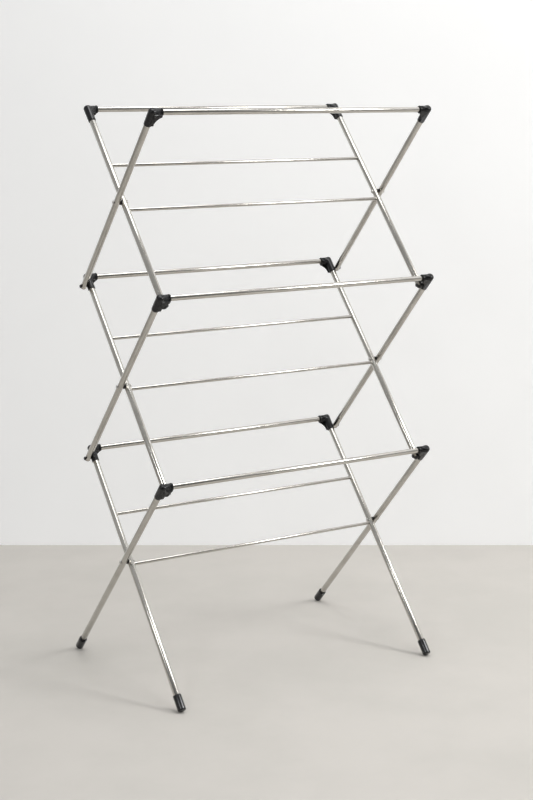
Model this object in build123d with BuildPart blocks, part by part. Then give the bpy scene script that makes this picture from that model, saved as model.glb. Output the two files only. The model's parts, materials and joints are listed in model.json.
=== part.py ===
from build123d import *
from math import cos, radians, sin
import os

os.makedirs("parts", exist_ok=True)

# A folding drying rack of three crossed tiers.
# Millimetres. X runs along the rails, the front is at -Y, Z is up and the floor is z = 0.
# Each tier has two frames, named after the side their rail is on: the front frame's legs
# run down to the back, and the back frame's legs run down to the front.

# Linkage
LINK = 281.0  # leg crossing to the pivot above it or below it
HALF_ANGLE = 42.5  # between a leg and the line through the three crossings
LEAN = 2.0  # that line leans this far to the front
CROSSING_HEIGHT = 291.0  # lowest crossing above the floor
PIVOT_DROP = 24.0  # rail axis to the pivot below it, along the leg
TOP_RAIL_ARM = 269.0  # top crossing to the top rails
FRONT_LAYER = 353.5  # x of the front frames' legs
BACK_LAYER = 336.5  # x of the back frames' legs

# Tubes
LEG_R = 7.25
LEG_BORE_R = 6.35
RAIL_R = 6.35
RAIL_BORE_R = 5.55
ROD_R = 4.0
ROD_BORE_R = 3.2
ROD_DEPTH = 3.0  # how far a rod goes into the leg's inner wall
ROD_ARMS = {"lower": (124.0, -9.0), "middle": (130.0, -9.0), "upper": (104.0, -22.0)}

# Corner fittings
SLEEVE_MOUTH_R = 8.6  # the leg sleeve widens from its mouth
SLEEVE_TOP_R = 9.3
SLEEVE_DROP = 35.0  # rail axis to the sleeve's mouth
SLEEVE_RISE = 9.0  # rail axis to the sleeve's crown
CROWN_ROUND = 6.5
MOUTH_ROUND = 0.8
LEG_STOP = 9.0  # rail axis to the top end of the leg
RAIL_SOCKET_R = 8.7
RAIL_SOCKET_L = 22.5  # leg axis to the rail socket's mouth
COLLAR_R = 9.15
COLLAR_L = 3.0
GROOVE_R = 7.9
GROOVE_L = 1.2
WEB_GAP = 8.4  # leg axis to the near face of the web
WEB_T = 1.2
WEB_FOOT = 31.0  # rail axis to the low end of the web
WEB_LIP = 6.5  # rail axis to where the web's hollow edge starts
WEB_HIP = 9.0  # leg axis to the low end of that edge
WEB_BOW = (13.0, 14.0)  # a point of that edge, in from the leg axis and below the rail axis

# Rivets, spacers and end plugs
RIVET_R = 2.4
RIVET_HOLE_R = 2.5
HEAD_R = 4.5
HEAD_H = 2.4
FACE_GAP = 0.3  # between a turning tube and the face beside it
SPACER_R = 6.0
TUBE_PAST_PIVOT = 3.5
PLUG_DOME_R = 8.1
PLUG_INSIDE = 8.0  # how far the plug goes up past the pivot

# Foot caps
FOOT_R = 9.7
FOOT_L = 37.5
FOOT_FLOOR = 3.0  # plastic below the end of the leg
FOOT_ROUND = 3.0

TIERS = ("lower", "middle", "upper")
SIDES = {"left": -1, "right": 1}

# Per frame end: angle from upright, leg layer, which local y is inside the crossed shape,
# and whether the leg pivoted on its corner fitting sits further in or further out.
PHI = {"front": HALF_ANGLE + LEAN, "back": HALF_ANGLE - LEAN}
LEAN_WAY = {"front": -1, "back": 1}
LAYER = {"front": FRONT_LAYER, "back": BACK_LAYER}
INSIDE = {"front": 1, "back": -1}
PIVOT_SIDE = {"front": -1, "back": 1}


def foot_arm(end):
    """Length from the lowest crossing to the centre of a foot cap's end."""
    phi = radians(PHI[end])
    rise = (FOOT_R - FOOT_ROUND) * sin(phi) + FOOT_ROUND - FOOT_ROUND * cos(phi)
    return (CROSSING_HEIGHT - rise) / cos(phi)


def foot_reach(end):
    """Distance from the lowest crossing to the outermost point of a foot cap along Y."""
    phi = radians(PHI[end])
    corner = (FOOT_R - FOOT_ROUND) * cos(phi) + FOOT_ROUND
    return (foot_arm(end) - FOOT_ROUND) * sin(phi) + corner


# The box around the whole rack is centred on y = 0.
CROSSING_Y = (foot_reach("back") - foot_reach("front")) / 2
TIER_STEP = 2 * LINK * cos(radians(HALF_ANGLE))


def crossing(tier):
    """Point on the rack's middle plane where a tier's legs cross."""
    step = TIER_STEP * TIERS.index(tier)
    lean = radians(LEAN)
    return Vector(0, CROSSING_Y - step * sin(lean), CROSSING_HEIGHT + step * cos(lean))


def along(end):
    """Unit vector up a frame's legs."""
    phi = radians(PHI[end])
    return Vector(0, LEAN_WAY[end] * sin(phi), cos(phi))


def across(end):
    """Unit vector square to a frame's legs, pointing to the back."""
    phi = radians(PHI[end])
    return Vector(0, cos(phi), -LEAN_WAY[end] * sin(phi))


def leg_plane(tier, end, x):
    """Plane square to a leg at its crossing: local x is X, local z is up the leg."""
    return Plane(origin=crossing(tier) + Vector(x, 0, 0), x_dir=(1, 0, 0), z_dir=along(end))


def side_plane(tier, end, x):
    """Plane square to X: local x is across the leg, local y is up the leg."""
    return Plane(origin=crossing(tier) + Vector(x, 0, 0), x_dir=across(end), z_dir=(1, 0, 0))


def web_plane(tier, end):
    """Plane of a frame: local x is X, local y is up the leg."""
    return Plane(origin=crossing(tier), x_dir=(1, 0, 0), z_dir=-across(end))


def rail_arm(tier):
    """Length from a tier's crossing to its rails."""
    if tier == "upper":
        return TOP_RAIL_ARM
    return LINK + PIVOT_DROP


def save(builder, name):
    """Label a finished piece and write it to its own file."""
    builder.part.label = name
    export_step(builder.part, f"parts/{name}.step")


# Rails
for tier in TIERS:
    for end in PHI:
        with BuildPart() as rail:
            with BuildSketch(side_plane(tier, end, -LAYER[end])):
                with Locations((0, rail_arm(tier))):
                    Circle(RAIL_R)
                    Circle(RAIL_BORE_R, mode=Mode.SUBTRACT)
            extrude(amount=2 * LAYER[end])
        save(rail, f"{tier}_{end}_rail")

# Thin rods, which run between the back frames' legs
ROD_END = BACK_LAYER - LEG_R + ROD_DEPTH
for tier in TIERS:
    for arm, level in zip(ROD_ARMS[tier], ("high", "low")):
        with BuildPart() as rod:
            with BuildSketch(side_plane(tier, "back", -ROD_END)):
                with Locations((0, arm)):
                    Circle(ROD_R)
                    Circle(ROD_BORE_R, mode=Mode.SUBTRACT)
            extrude(amount=2 * ROD_END)
        save(rod, f"{tier}_rod_{level}")

# Legs
for tier in TIERS:
    for end in PHI:
        top = rail_arm(tier) - LEG_STOP
        low = LINK + TUBE_PAST_PIVOT
        if tier == "lower":
            low = foot_arm(end) - FOOT_FLOOR
        for side, way in SIDES.items():
            axis_x = way * LAYER[end]
            with BuildPart() as leg:
                with BuildSketch(leg_plane(tier, end, axis_x).offset(-low)):
                    Circle(LEG_R)
                    Circle(LEG_BORE_R, mode=Mode.SUBTRACT)
                extrude(amount=low + top)
                # The crossing rivet is fixed in the back leg, and the front leg turns on it.
                with BuildSketch(side_plane(tier, end, axis_x)):
                    Circle(RIVET_HOLE_R if end == "front" else RIVET_R)
                extrude(amount=2 * LEG_R, both=True, mode=Mode.SUBTRACT)
                if tier != "lower":
                    with BuildSketch(side_plane(tier, end, axis_x)):
                        with Locations((0, -LINK)):
                            Circle(RIVET_HOLE_R)
                    extrude(amount=2 * LEG_R, both=True, mode=Mode.SUBTRACT)
                if tier != "upper":
                    with BuildSketch(side_plane(tier, end, axis_x)):
                        with Locations((0, LINK)):
                            Circle(RIVET_R)
                    extrude(amount=PIVOT_SIDE[end] * way * 2 * LEG_R, mode=Mode.SUBTRACT)
                if end == "back":
                    with BuildSketch(side_plane(tier, end, axis_x)):
                        with Locations(*[(0, arm) for arm in ROD_ARMS[tier]]):
                            Circle(ROD_R)
                    extrude(amount=-way * 2 * LEG_R, mode=Mode.SUBTRACT)
            save(leg, f"{tier}_{end}_leg_{side}")

# Corner fittings: a leg sleeve, a rail socket and a thin web between them
for tier in TIERS:
    for end in PHI:
        arm = rail_arm(tier)
        for side, way in SIDES.items():
            axis_x = way * LAYER[end]
            mouth_plane = leg_plane(tier, end, axis_x).offset(arm - SLEEVE_DROP)
            with BuildPart() as corner:
                with BuildSketch(side_plane(tier, end, axis_x)):
                    with BuildLine():
                        low = arm - SLEEVE_DROP
                        high = arm + SLEEVE_RISE
                        slope = ((SLEEVE_MOUTH_R, low), (SLEEVE_TOP_R, high))
                        Polyline((0, low), *slope, (0, high), close=True)
                    make_face()
                revolve(axis=Axis(mouth_plane.origin, mouth_plane.z_dir))
                rims = edges().filter_by(GeomType.CIRCLE)
                fillet(rims.filter_by(lambda e: abs(e.radius - SLEEVE_TOP_R) < 0.01), radius=CROWN_ROUND)
                rims = edges().filter_by(GeomType.CIRCLE)
                fillet(rims.filter_by(lambda e: abs(e.radius - SLEEVE_MOUTH_R) < 0.01), radius=MOUTH_ROUND)
                steps = (
                    (RAIL_SOCKET_R, 0, RAIL_SOCKET_L - COLLAR_L - GROOVE_L),
                    (GROOVE_R, LEG_R, RAIL_SOCKET_L - COLLAR_L / 2),
                    (COLLAR_R, RAIL_SOCKET_L - COLLAR_L, RAIL_SOCKET_L),
                )
                for step_r, begin, finish in steps:
                    with BuildSketch(side_plane(tier, end, axis_x - way * begin)):
                        with Locations((0, arm)):
                            Circle(step_r)
                    extrude(amount=-way * (finish - begin))
                rims = edges().filter_by(GeomType.CIRCLE)
                fillet(rims.filter_by(lambda e: abs(e.radius - COLLAR_R) < 0.01), radius=0.6)
                with BuildSketch(web_plane(tier, end).offset(INSIDE[end] * WEB_GAP)):
                    with BuildLine():
                        far = axis_x - way * (RAIL_SOCKET_L - 0.6)
                        hip = axis_x - way * WEB_HIP
                        bow = (axis_x - way * WEB_BOW[0], arm - WEB_BOW[1])
                        Line((axis_x, arm + 1), (far, arm + 1))
                        Line((far, arm + 1), (far, arm - WEB_LIP))
                        ThreePointArc((far, arm - WEB_LIP), bow, (hip, arm - WEB_FOOT))
                        Line((hip, arm - WEB_FOOT), (axis_x, arm - WEB_FOOT))
                        Line((axis_x, arm - WEB_FOOT), (axis_x, arm + 1))
                    make_face()
                extrude(amount=INSIDE[end] * WEB_T)
                # Bores for the rail and the leg
                with BuildSketch(side_plane(tier, end, axis_x)):
                    with Locations((0, arm)):
                        Circle(RAIL_R)
                extrude(amount=-way * (RAIL_SOCKET_L + 1), mode=Mode.SUBTRACT)
                with BuildSketch(mouth_plane.offset(-1)):
                    Circle(LEG_R)
                extrude(amount=SLEEVE_DROP + 1 - LEG_STOP, mode=Mode.SUBTRACT)
                if tier != "upper":
                    with BuildSketch(side_plane(tier, end, axis_x)):
                        with Locations((0, LINK)):
                            Circle(RIVET_R)
                    extrude(amount=PIVOT_SIDE[end] * way * 2 * LEG_R, mode=Mode.SUBTRACT)
            save(corner, f"{tier}_{end}_corner_{side}")

# End plugs in the low ends of the middle and upper legs
for tier in ("middle", "upper"):
    for end in PHI:
        for side, way in SIDES.items():
            axis_x = way * LAYER[end]
            pivot_plane = leg_plane(tier, end, axis_x).offset(-LINK)
            with BuildPart() as plug:
                Sphere(PLUG_DOME_R, mode=Mode.ADD)
                with BuildSketch(Plane.XY.offset(-TUBE_PAST_PIVOT)):
                    Circle(2 * PLUG_DOME_R)
                extrude(amount=2 * PLUG_DOME_R, mode=Mode.SUBTRACT)
                with BuildSketch(Plane.XY.offset(-TUBE_PAST_PIVOT)):
                    Circle(LEG_BORE_R)
                extrude(amount=TUBE_PAST_PIVOT + PLUG_INSIDE)
                with BuildSketch(Plane.YZ):
                    Circle(RIVET_HOLE_R)
                extrude(amount=2 * LEG_R, both=True, mode=Mode.SUBTRACT)
            plug.part.locate(pivot_plane.location)
            save(plug, f"{tier}_{end}_end_plug_{side}")

# Foot caps: the back frame's legs reach the front feet, and the front frame's the back feet
for end, place in (("back", "front"), ("front", "back")):
    for side, way in SIDES.items():
        end_plane = leg_plane("lower", end, way * LAYER[end]).offset(-foot_arm(end))
        with BuildPart() as foot:
            with BuildSketch(Plane.XY):
                Circle(FOOT_R)
            extrude(amount=FOOT_L)
            fillet(edges().group_by(Axis.Z)[0], radius=FOOT_ROUND)
            fillet(edges().group_by(Axis.Z)[-1], radius=1)
            with BuildSketch(Plane.XY.offset(FOOT_FLOOR)):
                Circle(LEG_R)
            extrude(amount=FOOT_L, mode=Mode.SUBTRACT)
        foot.part.locate(end_plane.location)
        save(foot, f"{place}_foot_{side}")

# Crossing rivets and spacers, which are fixed to the back frame
BACK_IN = BACK_LAYER - LEG_R
FRONT_OUT = FRONT_LAYER + LEG_R
FRONT_IN = FRONT_LAYER - LEG_R
SADDLE = 3.3  # how deep a spacer laps round its leg
for tier in TIERS:
    with BuildPart() as rivets:
        for way in SIDES.values():
            with BuildSketch(side_plane(tier, "back", way * BACK_IN)):
                Circle(RIVET_R)
            extrude(amount=way * (FRONT_OUT + FACE_GAP - BACK_IN))
            for face_x, outward in ((BACK_IN, -way), (FRONT_OUT + FACE_GAP, way)):
                with BuildSketch(side_plane(tier, "back", way * face_x)):
                    Circle(HEAD_R)
                extrude(amount=outward * HEAD_H)
        rims = edges().filter_by(GeomType.CIRCLE).filter_by(lambda e: abs(e.radius - HEAD_R) < 0.01)
        domes = [e for e in rims if abs(e.center().X) > FRONT_OUT + 1 or abs(e.center().X) < BACK_IN - 1]
        fillet(domes, radius=0.85 * HEAD_H)
    save(rivets, f"{tier}_crossing_rivets")
    with BuildPart() as spacers:
        for way in SIDES.values():
            with BuildSketch(side_plane(tier, "back", way * (FRONT_IN - FACE_GAP))):
                Circle(SPACER_R)
                Circle(RIVET_R, mode=Mode.SUBTRACT)
            extrude(amount=-way * (FRONT_IN - FACE_GAP - BACK_LAYER - LEG_R + SADDLE))
            with BuildSketch(leg_plane(tier, "back", way * BACK_LAYER).offset(-2 * SPACER_R)):
                Circle(LEG_R)
            extrude(amount=4 * SPACER_R, mode=Mode.SUBTRACT)
    save(spacers, f"{tier}_crossing_spacers")

# Pivot rivets: each runs from inside a corner fitting's leg through the leg pivoted beside it
for tier, level in (("lower", "lower"), ("middle", "upper")):
    for end, other in (("front", "back"), ("back", "front")):
        out = PIVOT_SIDE[end]
        head_x = LAYER[other] + out * (LEG_R + FACE_GAP)
        with BuildPart() as pivots:
            for way in SIDES.values():
                with BuildSketch(side_plane(tier, end, way * LAYER[end])):
                    with Locations((0, LINK)):
                        Circle(RIVET_R)
                extrude(amount=way * (head_x - LAYER[end]))
                with BuildSketch(side_plane(tier, end, way * head_x)):
                    with Locations((0, LINK)):
                        Circle(HEAD_R)
                extrude(amount=way * out * HEAD_H)
            rims = edges().filter_by(GeomType.CIRCLE).filter_by(lambda e: abs(e.radius - HEAD_R) < 0.01)
            domes = [e for e in rims if (abs(e.center().X) - head_x) * out > 1]
            fillet(domes, radius=0.85 * HEAD_H)
        save(pivots, f"{end}_{level}_pivot_rivets")
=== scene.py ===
"""Looks of a folding clothes drying rack: steel tubes, moulded fittings and foot caps."""

from __future__ import annotations

import json
import logging
import math
from dataclasses import dataclass, field
from enum import Enum
from typing import Any, Iterable

import bpy
from mathutils import Euler, Matrix, Vector

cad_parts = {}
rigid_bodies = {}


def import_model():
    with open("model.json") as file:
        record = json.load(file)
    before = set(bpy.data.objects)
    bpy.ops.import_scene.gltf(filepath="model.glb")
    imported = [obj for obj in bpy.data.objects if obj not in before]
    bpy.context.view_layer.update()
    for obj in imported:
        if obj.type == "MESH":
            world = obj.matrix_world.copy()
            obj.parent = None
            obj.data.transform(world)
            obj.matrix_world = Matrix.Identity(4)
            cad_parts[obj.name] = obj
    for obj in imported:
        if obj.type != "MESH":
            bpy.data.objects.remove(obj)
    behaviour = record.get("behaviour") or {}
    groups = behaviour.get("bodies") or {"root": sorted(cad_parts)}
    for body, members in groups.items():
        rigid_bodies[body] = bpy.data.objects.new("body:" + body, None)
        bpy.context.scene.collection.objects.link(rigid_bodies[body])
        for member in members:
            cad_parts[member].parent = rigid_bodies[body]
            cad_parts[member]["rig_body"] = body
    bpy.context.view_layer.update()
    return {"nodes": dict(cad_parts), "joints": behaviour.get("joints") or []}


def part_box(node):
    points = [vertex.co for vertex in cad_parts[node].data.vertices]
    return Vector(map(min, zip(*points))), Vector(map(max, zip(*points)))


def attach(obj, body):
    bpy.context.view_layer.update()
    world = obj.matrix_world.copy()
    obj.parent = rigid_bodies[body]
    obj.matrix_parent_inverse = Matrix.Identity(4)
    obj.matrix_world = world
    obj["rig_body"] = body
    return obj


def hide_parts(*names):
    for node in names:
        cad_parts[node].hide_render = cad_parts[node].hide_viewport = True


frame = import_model()

LOG = logging.getLogger("drying_rack")
MM = 0.001
TIERS = ("lower", "middle", "upper")
SIDES = ("left", "right")
LEG_RADIUS = 7.25 * MM
WELD_GAP = 0.01 * MM
MOULDED_ANGLE = math.radians(28)
TURNED_ANGLE = math.radians(32)
TUBE_ANGLE = math.radians(40)
RIM_ANGLE = math.radians(50)
SENSOR_MM = 36.0

# Socket numbers of a Mix node that blends colours.
MIX_FACTOR, MIX_FIRST, MIX_SECOND, MIX_BLEND = 0, 6, 7, 2

Colour = tuple[float, float, float]


class End(Enum):
    """Which of a tier's two frames: the one with its rail in front, or at the back."""

    FRONT = "front"
    BACK = "back"


class Grain(Enum):
    """Which way the polishing lines run on a steel piece."""

    RAIL = "rail"
    FRONT_LEG = "front_leg"
    BACK_LEG = "back_leg"


# ---------------------------------------------------------------- linkage


@dataclass(frozen=True)
class Linkage:
    """Where the legs cross and which way they run, read from the joints.

    Attributes:
        crossings: The crossing of each tier, lowest first.
        up: Unit vector up the legs of each frame.
    """

    crossings: dict[str, Vector]
    up: dict[End, Vector]

    @classmethod
    def from_joints(cls, joints: Iterable[dict[str, Any]]) -> "Linkage":
        """Works the linkage out.

        Args:
            joints: The frame's joints.

        Returns:
            The linkage.
        """
        place = {j["name"]: Vector(j["pos_m"]) for j in joints}
        crossings = {tier: place[f"{tier}_fold"] for tier in TIERS}
        pivot = place["back_lower_pivot"]
        up_back = (pivot - crossings["lower"]).normalized()
        up_front = (crossings["middle"] - pivot).normalized()
        return cls(crossings, {End.FRONT: up_front, End.BACK: up_back})

    def span(self, node: str, tier: str, end: End, radius: float) -> tuple[Vector, Vector]:
        """Finds the two ends of a tube that runs along a frame's legs.

        Args:
            node: The leg's CAD node.
            tier: Its tier.
            end: Its frame.
            radius: Its outer radius.

        Returns:
            The low and the high end of its axis.
        """
        low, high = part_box(node)
        way = self.up[end]
        rim = radius * abs(way.y)
        start = self.crossings[tier].copy()
        start.x = (low[0] + high[0]) / 2
        reach = [(z - start.z) / way.z for z in (low[2] + rim, high[2] - rim)]
        return start + way * reach[0], start + way * reach[1]


# ---------------------------------------------------------------- shader tools


class Value:
    """A node socket that takes part in Python sums."""

    def __init__(self, graph: "Graph", socket: Any) -> None:
        """Keeps the socket and the graph that it is in."""
        self.graph = graph
        self.socket = socket

    def _math(self, operation: str, first: Any, second: Any) -> "Value":
        """Adds a Math node for one operator."""
        return self.graph.add("ShaderNodeMath", {"operation": operation}, {0: first, 1: second})

    def __add__(self, other: Any) -> "Value":
        """This plus other."""
        return self._math("ADD", self, other)

    def __radd__(self, other: Any) -> "Value":
        """Other plus this."""
        return self._math("ADD", other, self)

    def __mul__(self, other: Any) -> "Value":
        """This times other."""
        return self._math("MULTIPLY", self, other)

    def __rmul__(self, other: Any) -> "Value":
        """Other times this."""
        return self._math("MULTIPLY", other, self)


class Graph:
    """The node tree of one material or world."""

    def __init__(self, tree: Any) -> None:
        """Empties the tree."""
        self.tree = tree
        tree.nodes.clear()

    def add(self, kind: str, settings: dict[str, Any] | None = None,
            inputs: dict[Any, Any] | None = None, output: Any = 0) -> Value:
        """Adds any node.

        Args:
            kind: The node's type.
            settings: Its own values, such as a Math node's operation. They are set first.
            inputs: Socket name or number to a number, a tuple or a Value to link.
            output: Name or number of the socket to hand back.

        Returns:
            The chosen output.
        """
        node = self.tree.nodes.new(kind)
        for key, value in (settings or {}).items():
            setattr(node, key, value)
        for key, value in (inputs or {}).items():
            if isinstance(value, Value):
                self.tree.links.new(value.socket, node.inputs[key])
            else:
                node.inputs[key].default_value = value
        return Value(self, node.outputs[output] if len(node.outputs) else None)

    def noise(self, coords: Value, scale: float, detail: float, rough: float) -> Value:
        """A noise value between about 0 and 1 on the given coordinates."""
        return self.add("ShaderNodeTexNoise", {},
                        {"Vector": coords, "Scale": scale, "Detail": detail, "Roughness": rough})

    def mix_colour(self, factor: Value, first: Colour, second: Colour) -> Value:
        """Blends two colours.

        Args:
            factor: How much of the second.
            first: Colour at 0.
            second: Colour at 1.

        Returns:
            The blend.
        """
        colours = {MIX_FACTOR: factor, MIX_FIRST: (*first, 1), MIX_SECOND: (*second, 1)}
        return self.add("ShaderNodeMix", {"data_type": "RGBA"}, colours, output=MIX_BLEND)

    def ramp(self, factor: Value, low: float, high: float) -> Value:
        """0 below low, 1 above high and smooth between."""
        return self.add("ShaderNodeMapRange", {"interpolation_type": "SMOOTHSTEP"},
                        {"Value": factor, "From Min": low, "From Max": high})

    def bump(self, height: Value, strength: float, distance: float) -> Value:
        """Turns a height into a normal."""
        return self.add("ShaderNodeBump", {},
                        {"Height": height, "Strength": strength, "Distance": distance})

    def surface(self, **inputs: Any) -> None:
        """Ends a material in a Principled shader with these sockets, named with underscores."""
        named = {key.replace("_", " "): value for key, value in inputs.items()}
        shader = self.add("ShaderNodeBsdfPrincipled", {}, named)
        self.add("ShaderNodeOutputMaterial", {}, {"Surface": shader})


# ---------------------------------------------------------------- finishes


@dataclass(frozen=True)
class SteelFinish:
    """Satin drawn stainless tube with fine polishing lines along it.

    Attributes:
        grain: Which way the lines run.
        turn: Angle about X that lays the lines along the tube.
        bright: Colour of the clean metal.
        dull: Colour where it is handled or a little cloudy.
        rough: Smallest roughness.
        line_rough: Roughness that a polishing line adds.
        cloud_rough: Roughness that a cloudy place adds.
        across: Polishing lines per metre across the tube.
        along: The same along the tube, where they are long.
        line_share: How much of the dulling follows the lines. The rest follows the clouds.
        relief: Strength of the lines' relief.
        depth: Depth of the lines in metres.
    """

    grain: Grain
    turn: float
    bright: Colour = (0.60, 0.583, 0.548)
    dull: Colour = (0.49, 0.472, 0.438)
    rough: float = 0.13
    line_rough: float = 0.10
    cloud_rough: float = 0.02
    across: float = 900.0
    along: float = 9.0
    line_share: float = 0.45
    relief: float = 0.12
    depth: float = 0.0002

    def make(self) -> bpy.types.Material:
        """Builds the material.

        Returns:
            The material.
        """
        material = bpy.data.materials.new(f"steel_{self.grain.value}")
        material.use_nodes = True
        graph = Graph(material.node_tree)
        place = graph.add("ShaderNodeTexCoord", output="Object")
        turned = graph.add("ShaderNodeMapping", {},
                           {"Vector": place, "Rotation": (self.turn, 0.0, 0.0)})
        if self.grain is Grain.RAIL:
            stretch = (self.along, self.across, self.across)
        else:
            stretch = (self.across, self.across, self.along)
        drawn = graph.add("ShaderNodeMapping", {}, {"Vector": turned, "Scale": stretch})
        lines = graph.noise(drawn, scale=1.0, detail=3.0, rough=0.6)
        cloud = graph.noise(place, scale=22.0, detail=3.0, rough=0.55)
        dulled = cloud * (1 - self.line_share) + lines * self.line_share
        mask = graph.ramp(dulled, low=0.34, high=0.70)
        graph.surface(
            Base_Color=graph.mix_colour(mask, self.bright, self.dull),
            Metallic=1.0,
            Roughness=self.rough + self.line_rough * lines + self.cloud_rough * cloud,
            Normal=graph.bump(lines, self.relief, self.depth),
        )
        return material


@dataclass(frozen=True)
class PlasticFinish:
    """Moulded black plastic with a fine spark-eroded grain and faint scuffs.

    Attributes:
        name: The material's name.
        colour: Colour of the plastic.
        scuffed: Colour where it is rubbed.
        rough: Roughness of the clean plastic.
        coat: Strength of the gloss over it.
        grain: Strength of the grain.
        scuff_rough: Roughness that a scuff adds.
        grain_rough: Roughness that the grain adds.
        grain_depth: Depth of the grain in metres.
    """

    name: str
    colour: Colour = (0.006, 0.0062, 0.0075)
    scuffed: Colour = (0.016, 0.0165, 0.019)
    rough: float = 0.24
    coat: float = 0.0
    grain: float = 0.12
    scuff_rough: float = 0.14
    grain_rough: float = 0.06
    grain_depth: float = 0.00015

    def make(self) -> bpy.types.Material:
        """Builds the material.

        Returns:
            The material.
        """
        material = bpy.data.materials.new(self.name)
        material.use_nodes = True
        graph = Graph(material.node_tree)
        place = graph.add("ShaderNodeTexCoord", output="Object")
        grain = graph.noise(place, scale=1500.0, detail=2.0, rough=0.6)
        rubbed = graph.noise(place, scale=160.0, detail=5.0, rough=0.7)
        scuff = graph.ramp(rubbed, low=0.56, high=0.74)
        graph.surface(
            Base_Color=graph.mix_colour(scuff, self.colour, self.scuffed),
            Roughness=self.rough + self.scuff_rough * scuff + self.grain_rough * grain,
            Specular_IOR_Level=0.42,
            Coat_Weight=self.coat,
            Coat_Roughness=0.10,
            Normal=graph.bump(grain, self.grain, self.grain_depth),
        )
        return material


@dataclass(frozen=True)
class RivetFinish:
    """Pressed and tumbled steel with small dents.

    Attributes:
        name: The material's name.
        colour: Colour of the metal or of its blacking.
        dent: Colour in the dents.
        metal: How metallic it is.
        rough: Smallest roughness.
        dent_rough: Roughness that a dent adds.
        relief: Strength of the dents' relief.
        depth: Depth of the dents in metres.
    """

    name: str = "rivet_steel"
    colour: Colour = (0.62, 0.61, 0.59)
    dent: Colour = (0.42, 0.41, 0.40)
    metal: float = 1.0
    rough: float = 0.22
    dent_rough: float = 0.18
    relief: float = 0.2
    depth: float = 0.0002

    def make(self) -> bpy.types.Material:
        """Builds the material.

        Returns:
            The material.
        """
        material = bpy.data.materials.new(self.name)
        material.use_nodes = True
        graph = Graph(material.node_tree)
        place = graph.add("ShaderNodeTexCoord", output="Object")
        dents = graph.noise(place, scale=700.0, detail=3.0, rough=0.6)
        deep = graph.ramp(dents, low=0.4, high=0.7)
        graph.surface(
            Base_Color=graph.mix_colour(deep, self.colour, self.dent),
            Metallic=self.metal,
            Roughness=self.rough + self.dent_rough * dents,
            Normal=graph.bump(dents, self.relief, self.depth),
        )
        return material


@dataclass(frozen=True)
class StageFinish:
    """Plain matt floor or wall, which can glow with painted light.

    Attributes:
        name: The material's name.
        colour: Main colour.
        cloudy: Colour of its faint mottling.
        one_sided: Whether it is clear when seen from behind.
        painted_glow: Painted light that it gives of its own. It stands in for the light on a wall lit from
            below the view.
    """

    name: str
    colour: Colour
    cloudy: Colour
    one_sided: bool = False
    painted_glow: float = 0.0

    def make(self) -> bpy.types.Material:
        """Builds the material.

        Returns:
            The material.
        """
        material = bpy.data.materials.new(self.name)
        material.use_nodes = True
        graph = Graph(material.node_tree)
        place = graph.add("ShaderNodeTexCoord", output="Object")
        mottling = graph.noise(place, scale=2.2, detail=6.0, rough=0.62)
        soft = graph.ramp(mottling, low=0.35, high=0.68)
        shader = graph.add("ShaderNodeBsdfPrincipled", {}, {
            "Base Color": graph.mix_colour(soft, self.colour, self.cloudy),
            "Roughness": 0.75,
            "Specular IOR Level": 0.25,
            # Painted light: the emission makes the surface glow in its own colour, on top of what the
            # lamps give it.
            "Emission Color": (*self.colour, 1),
            "Emission Strength": self.painted_glow,
        })
        if self.one_sided:
            behind = graph.add("ShaderNodeNewGeometry", output="Backfacing")
            clear = graph.add("ShaderNodeBsdfTransparent")
            shader = graph.add("ShaderNodeMixShader", {}, {0: behind, 1: shader, 2: clear})
        graph.add("ShaderNodeOutputMaterial", {}, {"Surface": shader})
        return material


# ---------------------------------------------------------------- modelling tools


def start_piece() -> None:
    """Leaves edit mode and deselects everything, so the next operator acts on its own piece."""
    if bpy.context.object and bpy.context.object.mode != "OBJECT":
        bpy.ops.object.mode_set(mode="OBJECT")
    bpy.ops.object.select_all(action="DESELECT")


def use_modifier(kind: str, **settings: Any) -> None:
    """Adds a modifier to the active piece and applies it.

    Args:
        kind: The modifier's type.
        **settings: Its values.
    """
    bpy.ops.object.modifier_add(type=kind)
    modifier = bpy.context.object.modifiers[-1]
    for key, value in settings.items():
        setattr(modifier, key, value)
    bpy.ops.object.modifier_apply(modifier=modifier.name)


def lay_along(piece: bpy.types.Object, origin: Vector, way: Vector) -> None:
    """Places a piece made on +Z so that it starts at a point and runs along a direction.

    Args:
        piece: The piece, at the origin.
        origin: Where its own origin goes.
        way: Where its own +Z points.
    """
    turn = way.to_track_quat("Z", "Y")
    piece.data.transform(Matrix.Translation(origin) @ turn.to_matrix().to_4x4())
    piece.data.update()


def turned_body(name: str, stations: list[tuple[float, float]], sides: int) -> bpy.types.Object:
    """Turns a closed body on +Z by extruding a disc and resizing it at each station.

    Args:
        name: The piece's name.
        stations: Height and radius of each ring, from the first end to the last.
        sides: How many faces go round it.

    Returns:
        The piece.
    """
    start_piece()
    height, radius = stations[0]
    bpy.ops.mesh.primitive_circle_add(vertices=sides, radius=radius, fill_type="NGON",
                                      location=(0, 0, height))
    piece = bpy.context.object
    piece.name = name
    piece.data.name = name
    bpy.ops.object.transform_apply(location=True, rotation=True, scale=True)
    bpy.ops.object.mode_set(mode="EDIT")
    bpy.ops.mesh.select_all(action="SELECT")
    for next_height, next_radius in stations[1:]:
        bpy.ops.mesh.extrude_region_move(
            TRANSFORM_OT_translate={"value": (0, 0, next_height - height)})
        ratio = next_radius / radius
        bpy.ops.transform.resize(value=(ratio, ratio, 1), center_override=(0, 0, next_height))
        height, radius = next_height, next_radius
    bpy.ops.mesh.select_all(action="SELECT")
    bpy.ops.mesh.normals_make_consistent(inside=False)
    bpy.ops.object.mode_set(mode="OBJECT")
    bpy.ops.object.shade_smooth_by_angle(angle=TURNED_ANGLE)
    return piece


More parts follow.
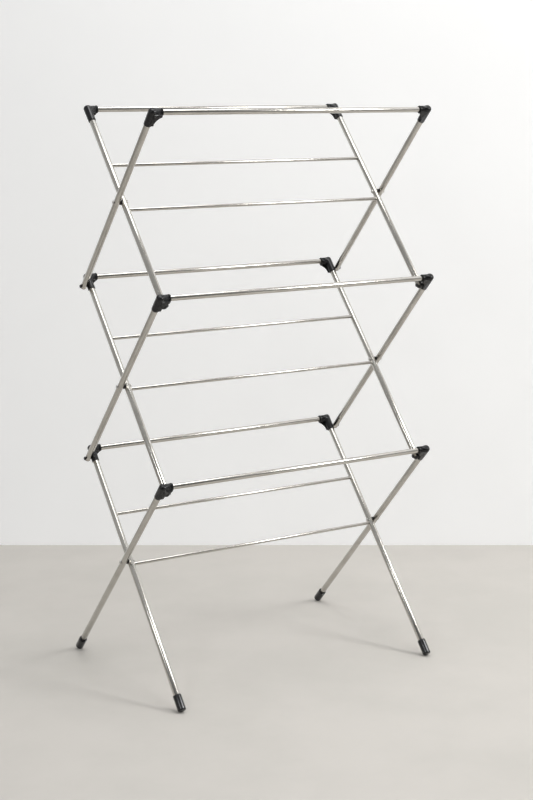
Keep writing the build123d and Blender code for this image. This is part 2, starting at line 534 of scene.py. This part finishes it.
def copy_piece(piece: bpy.types.Object, name: str) -> bpy.types.Object:
    """Copies a piece with a mesh of its own.

    Args:
        piece: The piece.
        name: The copy's name.

    Returns:
        The copy.
    """
    start_piece()
    piece.select_set(True)
    bpy.context.view_layer.objects.active = piece
    bpy.ops.object.duplicate(linked=False)
    double = bpy.context.object
    double.name = name
    double.data.name = name
    return double


def smoothed_copy(node: str) -> bpy.types.Object:
    """Welds a copy of a CAD node's triangles and shades its round faces smooth.

    Args:
        node: The CAD node.

    Returns:
        The welded piece, which stands for the node.
    """
    start_piece()
    source = frame["nodes"][node]
    piece = bpy.data.objects.new(f"{node}_moulded", source.data.copy())
    bpy.context.scene.collection.objects.link(piece)
    piece.data.name = piece.name
    piece.data.materials.clear()
    piece.select_set(True)
    bpy.context.view_layer.objects.active = piece
    bpy.ops.object.mode_set(mode="EDIT")
    bpy.ops.mesh.select_all(action="SELECT")
    bpy.ops.mesh.remove_doubles(threshold=WELD_GAP)
    bpy.ops.object.mode_set(mode="OBJECT")
    bpy.ops.object.shade_smooth_by_angle(angle=MOULDED_ANGLE)
    return piece


def finish_piece(piece: bpy.types.Object, node: str, material: bpy.types.Material) -> None:
    """Dresses a piece and lets it ride in place of a CAD node.

    Args:
        piece: The finished piece.
        node: The CAD node that it stands for.
        material: Its material.
    """
    piece.data.materials.clear()
    piece.data.materials.append(material)
    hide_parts(node)
    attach(piece, frame["nodes"][node]["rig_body"])
    LOG.info("%s stands for %s", piece.name, node)


# ---------------------------------------------------------------- sub-assemblies


@dataclass
class SteelTube:
    """One drawn tube with open, slightly rounded ends.

    Attributes:
        node: The CAD node that it stands for.
        start: One end of its axis.
        stop: The other end.
        radius: Outer radius.
        wall: Wall thickness.
        rounding: How far the ends' edges are rounded.
        sides: Faces round it.
    """

    node: str
    start: Vector
    stop: Vector
    radius: float
    wall: float = 0.9 * MM
    rounding: float = 0.2 * MM
    sides: int = 64

    def build(self) -> bpy.types.Object:
        """Makes the tube as an open cylinder, given its wall and rounded at its ends.

        Returns:
            The tube.
        """
        start_piece()
        run = self.stop - self.start
        bpy.ops.mesh.primitive_cylinder_add(vertices=self.sides, radius=self.radius,
                                            depth=run.length, end_fill_type="NOTHING")
        piece = bpy.context.object
        piece.name = f"{self.node}_tube"
        piece.data.name = piece.name
        use_modifier("SOLIDIFY", thickness=self.wall, offset=-1.0)
        use_modifier("BEVEL", width=self.rounding, segments=2, limit_method="ANGLE",
                     angle_limit=RIM_ANGLE)
        bpy.ops.object.shade_smooth_by_angle(angle=TUBE_ANGLE)
        lay_along(piece, (self.start + self.stop) / 2, run.normalized())
        return piece

    def dress(self, piece: bpy.types.Object, material: bpy.types.Material) -> None:
        """Gives the tube its steel and its body."""
        finish_piece(piece, self.node, material)


@dataclass
class TubeWork:
    """All legs, rails and rods.

    Attributes:
        linkage: Where the legs run.
        steel: A material for each grain.
    """

    linkage: Linkage
    steel: dict[Grain, bpy.types.Material]

    def _cross_tube(self, node: str) -> None:
        """Builds a rail or a rod, whose size is its node's box.

        Args:
            node: The CAD node.
        """
        low, high = (Vector(corner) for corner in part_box(node))
        middle = (low + high) / 2
        start = Vector((low.x, middle.y, middle.z))
        stop = Vector((high.x, middle.y, middle.z))
        tube = SteelTube(node, start, stop, (high.z - low.z) / 2)
        tube.dress(tube.build(), self.steel[Grain.RAIL])

    def _leg(self, tier: str, end: End, side: str) -> None:
        """Builds one leg.

        Args:
            tier: Its tier.
            end: Its frame.
            side: Left or right.
        """
        node = f"{tier}_{end.value}_leg_{side}"
        start, stop = self.linkage.span(node, tier, end, LEG_RADIUS)
        tube = SteelTube(node, start, stop, LEG_RADIUS)
        grain = Grain.FRONT_LEG if end is End.FRONT else Grain.BACK_LEG
        tube.dress(tube.build(), self.steel[grain])

    def build(self) -> None:
        """Builds and dresses every tube."""
        for tier in TIERS:
            for end in End:
                self._cross_tube(f"{tier}_{end.value}_rail")
                for side in SIDES:
                    self._leg(tier, end, side)
            for level in ("high", "low"):
                self._cross_tube(f"{tier}_rod_{level}")


@dataclass
class FootCaps:
    """Four moulded caps that the legs stand in.

    Attributes:
        linkage: Where the legs run.
        material: Their plastic.
        radius: Outer radius.
        length: Overall length.
        rounding: Radius of the low rim.
        floor: Height of the bore's own floor, just clear of the leg's end.
        leg_end: Height of the leg's end in the cap.
        bore: Radius of the hole that the leg is in.
        centre: Share of the flat end that the first ring spans.
        rim_steps: Faces up the rounded rim.
        lip: Height of the plain lip above the groove.
        groove: Depth of the groove, and half its width.
        soft: How far the top's edges are softened.
        sides: Faces round it.
    """

    linkage: Linkage
    material: bpy.types.Material
    radius: float = 9.7 * MM
    length: float = 37.5 * MM
    rounding: float = 3.0 * MM
    floor: float = 2.9 * MM
    leg_end: float = 3.0 * MM
    bore: float = 7.3 * MM
    centre: float = 0.5
    rim_steps: int = 8
    lip: float = 5.0 * MM
    groove: float = 0.45 * MM
    soft: float = 0.35 * MM
    sides: int = 64

    def _stations(self) -> list[tuple[float, float]]:
        """Goes from the middle of the low end, round the rim, up, and down into the bore.

        Returns:
            Height and radius of each ring.
        """
        flat = self.radius - self.rounding
        rings = [(0.0, flat * self.centre)]
        for step in range(self.rim_steps + 1):
            angle = math.pi / 2 * step / self.rim_steps
            rings.append((self.rounding * (1 - math.cos(angle)), flat + self.rounding * math.sin(angle)))
        top = self.length
        lip = top - self.lip
        groove, soft = self.groove, self.soft
        rings += [
            (lip - 2 * groove, self.radius),
            (lip - 1.5 * groove, self.radius - groove),
            (lip - 0.5 * groove, self.radius - groove),
            (lip, self.radius),
            (top - 2 * soft, self.radius),
            (top - 0.6 * soft, self.radius - 0.4 * soft),
            (top, self.radius - 1.4 * soft),
            (top, self.bore + soft),
            (top - soft, self.bore),
            (self.floor, self.bore),
        ]
        return rings

    def build(self) -> None:
        """Makes one cap, then a copy at each foot."""
        pattern = turned_body("foot_pattern", self._stations(), self.sides)
        for end, place in ((End.BACK, "front"), (End.FRONT, "back")):
            way = self.linkage.up[end]
            for side in SIDES:
                leg = f"lower_{end.value}_leg_{side}"
                low, _ = self.linkage.span(leg, "lower", end, LEG_RADIUS)
                node = f"{place}_foot_{side}"
                cap = copy_piece(pattern, f"{node}_cap")
                lay_along(cap, low - way * self.leg_end, way)
                finish_piece(cap, node, self.material)
        bpy.data.objects.remove(pattern)


@dataclass
class MouldedFittings:
    """Corner fittings, end plugs and spacers.

    Attributes:
        fitting: Plastic of the corner fittings.
        trim: Plastic of the plugs and spacers.
    """

    fitting: bpy.types.Material
    trim: bpy.types.Material

    def build(self) -> None:
        """Welds and dresses each moulded piece."""
        for tier in TIERS:
            for end in End:
                for side in SIDES:
                    corner = f"{tier}_{end.value}_corner_{side}"
                    finish_piece(smoothed_copy(corner), corner, self.fitting)
                    if tier != "lower":
                        plug = f"{tier}_{end.value}_end_plug_{side}"
                        finish_piece(smoothed_copy(plug), plug, self.trim)
            spacers = f"{tier}_crossing_spacers"
            finish_piece(smoothed_copy(spacers), spacers, self.trim)


@dataclass
class Rivets:
    """Domed rivets: bright ones at the crossings and blackened ones at the pivots.

    Attributes:
        bright: Steel of the crossing rivets.
        black: Finish of the pivot rivets.
    """

    bright: bpy.types.Material
    black: bpy.types.Material

    def build(self) -> None:
        """Welds and dresses each pair."""
        for tier in TIERS:
            node = f"{tier}_crossing_rivets"
            finish_piece(smoothed_copy(node), node, self.bright)
        for end in End:
            for level in ("lower", "upper"):
                node = f"{end.value}_{level}_pivot_rivets"
                finish_piece(smoothed_copy(node), node, self.black)


@dataclass(frozen=True)
class SoftLight:
    """A square soft light.

    Attributes:
        name: Its name.
        size: Length of its side.
        power: Its power in watts.
        place: Where it is.
        colour: Its colour.
    """

    name: str
    size: float
    power: float
    place: Vector
    colour: Colour

    def hang(self, aim: Vector) -> None:
        """Adds the light.

        Args:
            aim: The point that it is turned to.
        """
        data = bpy.data.lights.new(self.name, "AREA")
        data.size = self.size
        data.energy = self.power
        data.color = self.colour
        light = bpy.data.objects.new(self.name, data)
        bpy.context.scene.collection.objects.link(light)
        light.location = self.place
        light.rotation_euler = (aim - self.place).to_track_quat("-Z", "Y").to_euler()


@dataclass
class Studio:
    """Floor, wall, lights and camera.

    Attributes:
        eye: Where the camera is.
        yaw: Which way it looks, turned from +Y towards +X.
        pitch: How far it looks up.
        roll: How far it is tipped about its own axis.
        lens: Focal length in millimetres.
        aim: The point that the lights are turned to.
        floor_size: Length of the floor's side.
        wall_size: Length of the wall's side.
        wall_foot: A point where the wall meets the floor.
        wall_turn: Which way the wall runs, turned from +X.
        surround: Colour of the world round the rack.
        shade: Its colour low in front.
        shade_way: Where the shade lies, seen from the rack.
        surround_strength: Strength of the world.
    """

    eye: Vector = field(default_factory=lambda: Vector((-1.7853, -3.1157, 1.2720)))
    yaw: float = math.radians(30.479)
    pitch: float = math.radians(-10.110)
    roll: float = math.radians(-0.99)
    lens: float = 68.274
    aim: Vector = field(default_factory=lambda: Vector((0, 0, 0.6)))
    floor_size: float = 40.0
    wall_size: float = 14.0
    wall_foot: Vector = field(default_factory=lambda: Vector((0.516, 0.828, 0)))
    wall_turn: float = math.radians(-34.14)
    surround: Colour = (0.50, 0.50, 0.495)
    shade: Colour = (0.03, 0.03, 0.029)
    shade_way: tuple[float, float, float] = (-0.45, -0.85, -0.27)
    surround_strength: float = 0.95

    def _camera(self) -> None:
        """Adds the camera."""
        data = bpy.data.cameras.new("camera")
        data.lens = self.lens
        data.sensor_width = SENSOR_MM
        camera = bpy.data.objects.new("camera", data)
        bpy.context.scene.collection.objects.link(camera)
        look = Matrix.Rotation(-self.yaw, 4, "Z") @ Matrix.Rotation(math.pi / 2 + self.pitch, 4, "X")
        camera.matrix_world = Matrix.Translation(self.eye) @ look @ Matrix.Rotation(self.roll, 4, "Z")
        bpy.context.scene.camera = camera

    def _panel(self, name: str, size: float, place: Vector, turn: Euler,
               material: bpy.types.Material) -> None:
        """Adds a flat stage panel.

        Args:
            name: Its name.
            size: Length of its side.
            place: Its middle.
            turn: How it is turned.
            material: Its material.
        """
        start_piece()
        bpy.ops.mesh.primitive_plane_add(size=size, location=place, rotation=turn)
        panel = bpy.context.object
        panel.name = name
        panel.data.materials.append(material)

    def _world(self) -> None:
        """Makes a pale surround, dark low in front, so that the tubes show bright and dark streaks."""
        world = bpy.data.worlds.new("surround")
        bpy.context.scene.world = world
        world.use_nodes = True
        graph = Graph(world.node_tree)
        way = graph.add("ShaderNodeTexCoord", output="Generated")
        front = graph.add("ShaderNodeVectorMath", {"operation": "DOT_PRODUCT"},
                          {0: way, 1: self.shade_way}, output="Value")
        dim = graph.ramp(front, low=0.25, high=0.85)
        colour = graph.mix_colour(dim, self.surround, self.shade)
        back = graph.add("ShaderNodeBackground", {}, {"Color": colour, "Strength": self.surround_strength})
        graph.add("ShaderNodeOutputWorld", {}, {"Surface": back})

    def build(self) -> None:
        """Sets everything up."""
        floor = StageFinish("floor_paint", (0.60, 0.575, 0.54), (0.56, 0.54, 0.505)).make()
        # The wall gets painted light: it glows a little in its own colour, so it looks more brightly lit.
        wall = StageFinish("wall_paint", (0.93, 0.935, 0.94), (0.915, 0.92, 0.925),
                           one_sided=True, painted_glow=0.20).make()
        upright = Euler((math.pi / 2, 0, self.wall_turn))
        self._panel("floor", self.floor_size, Vector((0, 0, 0)), Euler((0, 0, 0)), floor)
        self._panel("wall", self.wall_size, self.wall_foot, upright, wall)
        bpy.context.scene.view_settings.view_transform = "Standard"
        for light in (
            SoftLight("key", 1.1, 82.0, Vector((2.4, -2.6, 3.0)), (1.0, 0.995, 0.985)),
            SoftLight("fill", 0.6, 16.0, Vector((-3.0, -2.2, 2.6)), (0.98, 0.99, 1.0)),
            SoftLight("overhead", 1.6, 46.0, Vector((0.2, -0.6, 4.2)), (1.0, 1.0, 1.0)),
        ):
            light.hang(self.aim)
        self._world()
        self._camera()


def main() -> None:
    """Builds the rack's looks in order."""
    logging.basicConfig(level=logging.INFO, format="%(name)s: %(message)s")
    linkage = Linkage.from_joints(frame["joints"])
    turn = {
        Grain.RAIL: 0.0,
        Grain.FRONT_LEG: math.atan2(linkage.up[End.FRONT].y, linkage.up[End.FRONT].z),
        Grain.BACK_LEG: math.atan2(linkage.up[End.BACK].y, linkage.up[End.BACK].z),
    }
    steel = {grain: SteelFinish(grain, turn[grain]).make() for grain in Grain}
    TubeWork(linkage, steel).build()
    MouldedFittings(
        PlasticFinish("fitting_plastic").make(),
        PlasticFinish("trim_plastic", rough=0.3).make(),
    ).build()
    blackened = RivetFinish("rivet_black", (0.02, 0.02, 0.022), (0.035, 0.035, 0.037), metal=0.0)
    Rivets(RivetFinish().make(), blackened.make()).build()
    foot_plastic = PlasticFinish("foot_plastic", rough=0.17, coat=0.25, grain=0.05)
    FootCaps(linkage, foot_plastic.make()).build()
    Studio().build()


if __name__ == "__main__":
    main()
